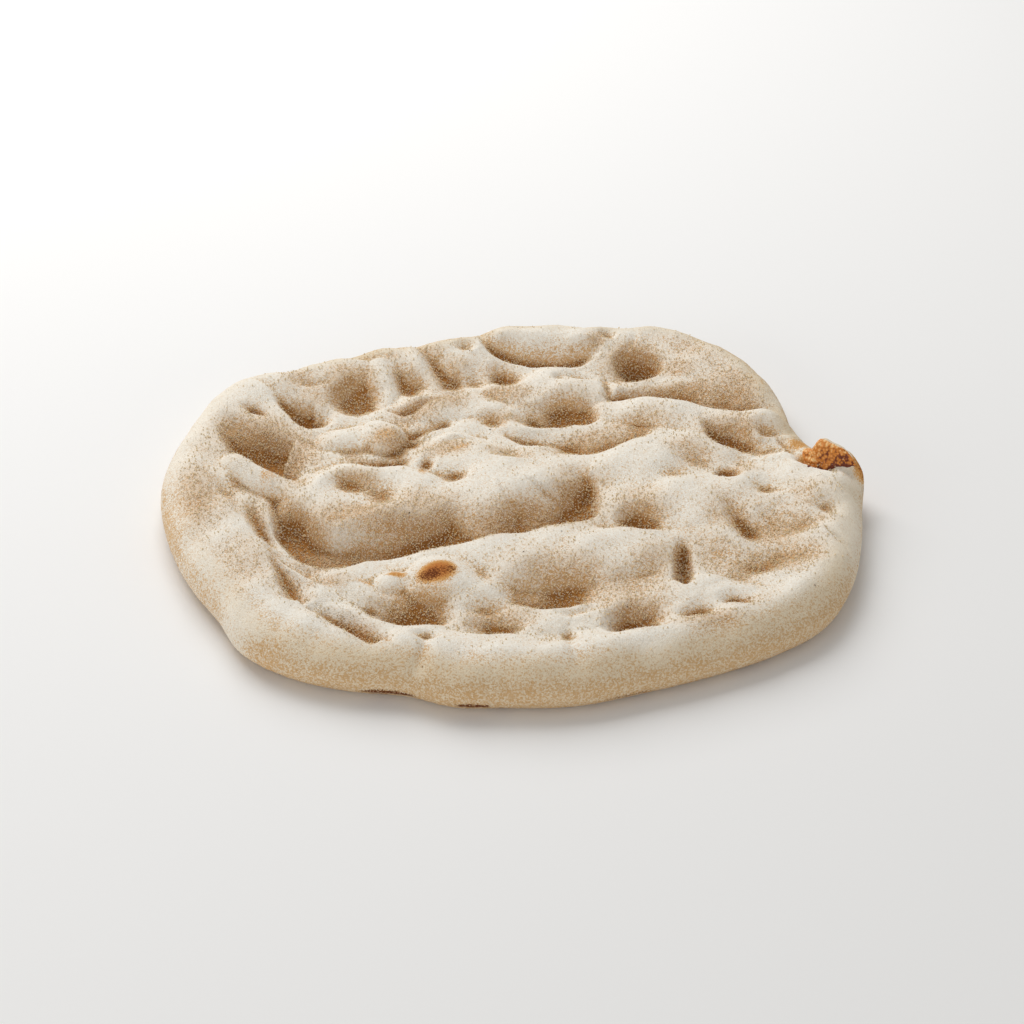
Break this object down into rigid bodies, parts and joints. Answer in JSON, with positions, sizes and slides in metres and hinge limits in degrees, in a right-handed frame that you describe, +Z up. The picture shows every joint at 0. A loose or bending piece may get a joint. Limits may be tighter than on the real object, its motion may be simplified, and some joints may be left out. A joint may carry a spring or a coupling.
{
  "type": "pinsa base",
  "caption": "Flat oval par-baked pinsa base, untopped, with a puffed rim, deep finger presses, raised bubbles and a burst blister at one side; lies flat on its base.",
  "frame": {"origin": "centre of the bounding box in plan, on the plane of the flat base", "axes": "+X along the long way of the oval, towards the side with the burst bubble; +Y towards the side with the long rim hollow; +Z up, out of the pressed top"},
  "size_m": [0.2948, 0.2596, 0.0264],
  "materials": {
    "pinsa_base": null
  },
  "bodies": {
    "root": {"pinsa_base": "pinsa_base"}
  },
  "joints": []
}
